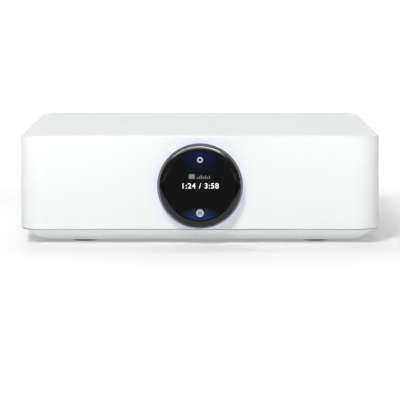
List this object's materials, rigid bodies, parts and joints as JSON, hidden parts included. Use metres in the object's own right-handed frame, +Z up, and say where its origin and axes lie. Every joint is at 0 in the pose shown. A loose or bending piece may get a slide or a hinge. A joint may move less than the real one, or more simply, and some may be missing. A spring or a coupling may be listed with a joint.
{
  "type": "streaming amplifier",
  "caption": "Compact streaming amplifier: low white square housing, round touch display in a turning volume ring on the front, speaker terminals and sockets in a rear recess.",
  "frame": {"origin": "middle of the housing's footprint, on the surface that the feet stand on", "axes": "+X to the right seen from the front, +Y from the front to the rear, +Z up"},
  "size_m": [0.215, 0.2306, 0.065],
  "materials": {
    "white_shell": "satin",
    "ring_black": "high gloss",
    "display_glass": "polished, black behind",
    "light_guide": "translucent",
    "panel_grey": "fine texture",
    "foot_rubber": "matt",
    "terminal_metal": "gold plated",
    "contact_metal": "nickel plated",
    "cap_red": "gloss",
    "cap_black": "gloss",
    "insulator_black": "moulded",
    "core_red": "moulded",
    "core_white": "moulded",
    "button_grey": "moulded",
    "board_green": "lacquered",
    "lamp_white": "clear",
    "display_panel": "smooth",
    "ribbon_amber": "film",
    "sink_metal": "extruded",
    "chip_black": "moulded",
    "pad_grey": "soft",
    "can_metal": "sleeved",
    "core_iron": "ferrite",
    "winding_yellow": "taped",
    "part_white": "moulded",
    "part_yellow": "moulded",
    "antenna_board": "film"
  },
  "bodies": {
    "housing": {"amplifier_chips": "chip_black", "antennas": "antenna_board", "base_tray": "white_shell", "dial_board": "board_green", "dial_carrier": "insulator_black", "dial_glass": "display_glass", "display_holder": "insulator_black", "display_panel": "display_panel", "display_ribbon": "ribbon_amber", "feet": "foot_rubber", "filter_capacitor": "part_yellow", "filter_choke": "core_iron", "heat_sink": "sink_metal", "inlet_blades": "contact_metal", "light_ring": "light_guide", "main_board": "board_green", "mains_fuse": "part_white", "mains_inlet": "insulator_black", "network_contacts": "contact_metal", "network_socket": "insulator_black", "output_coils": "chip_black", "phono_block": "insulator_black", "phono_core_black": "insulator_black", "phono_core_red": "core_red", "phono_core_white": "core_white", "phono_shells": "contact_metal", "power_board": "board_green", "processor_shield": "sink_metal", "rear_frame": "panel_grey", "rear_panel": "panel_grey", "reset_switch": "insulator_black", "ribbon_socket": "insulator_black", "ring_lamps": "lamp_white", "smoothing_capacitors": "can_metal", "terminal_board": "board_green", "terminal_plates": "insulator_black", "terminal_studs": "terminal_metal", "thermal_pads": "pad_grey", "transformer_core": "core_iron", "transformer_winding": "winding_yellow", "upper_shell": "white_shell", "video_socket": "contact_metal", "video_tongue": "insulator_black"},
    "dial_ring": {"volume_ring": "ring_black", "ring_sleeve": "insulator_black"},
    "reset_plunger": {"reset_button": "button_grey"},
    "clamp_left_positive": {"clamp_washer_left_positive": "contact_metal"},
    "cap_left_positive": {"terminal_cap_left_positive": "cap_red"},
    "clamp_left_negative": {"clamp_washer_left_negative": "contact_metal"},
    "cap_left_negative": {"terminal_cap_left_negative": "cap_black"},
    "clamp_right_positive": {"clamp_washer_right_positive": "contact_metal"},
    "cap_right_positive": {"terminal_cap_right_positive": "cap_red"},
    "clamp_right_negative": {"clamp_washer_right_negative": "contact_metal"},
    "cap_right_negative": {"terminal_cap_right_negative": "cap_black"}
  },
  "joints": [
    {"name": "volume_turn", "type": "hinge", "parent": "housing", "child": "dial_ring", "pos_m": [0, -0.1135, 0.035], "axis": [0, 1, 0], "continuous": true},
    {"name": "reset_press", "type": "slide", "parent": "housing", "child": "reset_plunger", "axis": [0, -1, 0], "range_m": [0, 0.0004], "stiffness_N_per_m": 3000, "springref_m": -0.0001},
    {"name": "left_positive_clamp_slide", "type": "slide", "parent": "housing", "child": "clamp_left_positive", "axis": [0, 1, 0], "range_m": [0, 0.0048]},
    {"name": "left_positive_cap_turn", "type": "hinge", "parent": "clamp_left_positive", "child": "cap_left_positive", "pos_m": [-0.021, 0.109, 0.031], "axis": [0, 1, 0], "range_deg": [0, 2160]},
    {"name": "left_negative_clamp_slide", "type": "slide", "parent": "housing", "child": "clamp_left_negative", "axis": [0, 1, 0], "range_m": [0, 0.0048]},
    {"name": "left_negative_cap_turn", "type": "hinge", "parent": "clamp_left_negative", "child": "cap_left_negative", "pos_m": [-0.0405, 0.109, 0.031], "axis": [0, 1, 0], "range_deg": [0, 2160]},
    {"name": "right_positive_clamp_slide", "type": "slide", "parent": "housing", "child": "clamp_right_positive", "axis": [0, 1, 0], "range_m": [0, 0.0048]},
    {"name": "right_positive_cap_turn", "type": "hinge", "parent": "clamp_right_positive", "child": "cap_right_positive", "pos_m": [-0.06, 0.109, 0.031], "axis": [0, 1, 0], "range_deg": [0, 2160]},
    {"name": "right_negative_clamp_slide", "type": "slide", "parent": "housing", "child": "clamp_right_negative", "axis": [0, 1, 0], "range_m": [0, 0.0048]},
    {"name": "right_negative_cap_turn", "type": "hinge", "parent": "clamp_right_negative", "child": "cap_right_negative", "pos_m": [-0.0795, 0.109, 0.031], "axis": [0, 1, 0], "range_deg": [0, 2160]}
  ],
  "couplings": [
    {"joint": "left_positive_cap_turn", "follows": "left_positive_clamp_slide", "rad_per_m": 7854},
    {"joint": "left_negative_cap_turn", "follows": "left_negative_clamp_slide", "rad_per_m": 7854},
    {"joint": "right_positive_cap_turn", "follows": "right_positive_clamp_slide", "rad_per_m": 7854},
    {"joint": "right_negative_cap_turn", "follows": "right_negative_clamp_slide", "rad_per_m": 7854}
  ]
}
